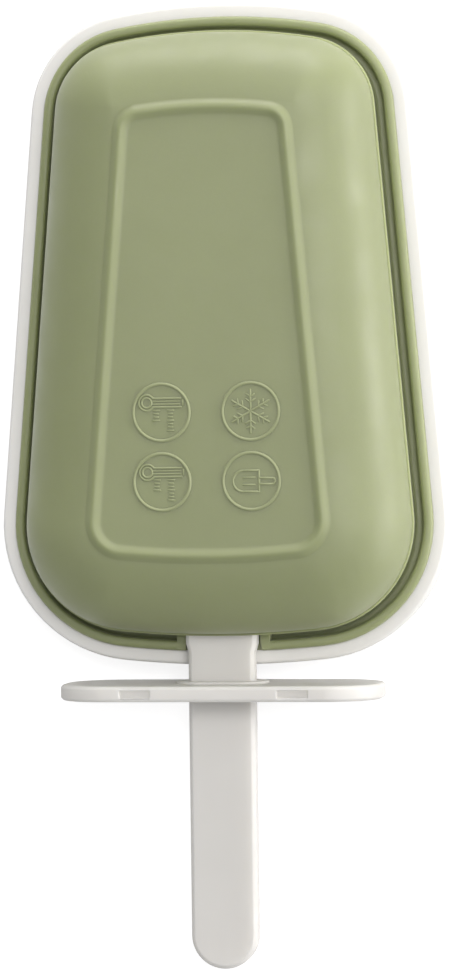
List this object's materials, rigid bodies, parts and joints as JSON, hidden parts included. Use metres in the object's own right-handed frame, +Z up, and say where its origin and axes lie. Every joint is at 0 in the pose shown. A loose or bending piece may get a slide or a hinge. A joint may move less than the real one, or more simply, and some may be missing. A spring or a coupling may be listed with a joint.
{
  "type": "ice pop mold",
  "caption": "Single ice pop mould: domed silicone cavity with a sealing skirt, white tray lid under it and a reusable stick with drip guard.",
  "frame": {"origin": "middle of the bounding box, at the height of the lid's underside", "axes": "+Z up out of the mould's closed base as it lies on its lid, +Y along the length from the stick to the tip, +X across"},
  "size_m": [0.0766, 0.1634, 0.0268],
  "materials": {
    "lid_plastic": "white satin polypropylene",
    "silicone": "sage-green matte silicone",
    "stick_plastic": "white satin polypropylene"
  },
  "bodies": {
    "lid": {"lid": "lid_plastic"},
    "mould": {"mould_body": "silicone"},
    "stick": {"stick": "stick_plastic"}
  },
  "joints": [
    {"name": "mould_lift", "type": "slide", "parent": "lid", "child": "mould", "axis": [0, 0, 1], "range_m": [0, 0.03]},
    {"name": "stick_slide", "type": "slide", "parent": "mould", "child": "stick", "axis": [0, -1, 0], "range_m": [0, 0.056]}
  ]
}
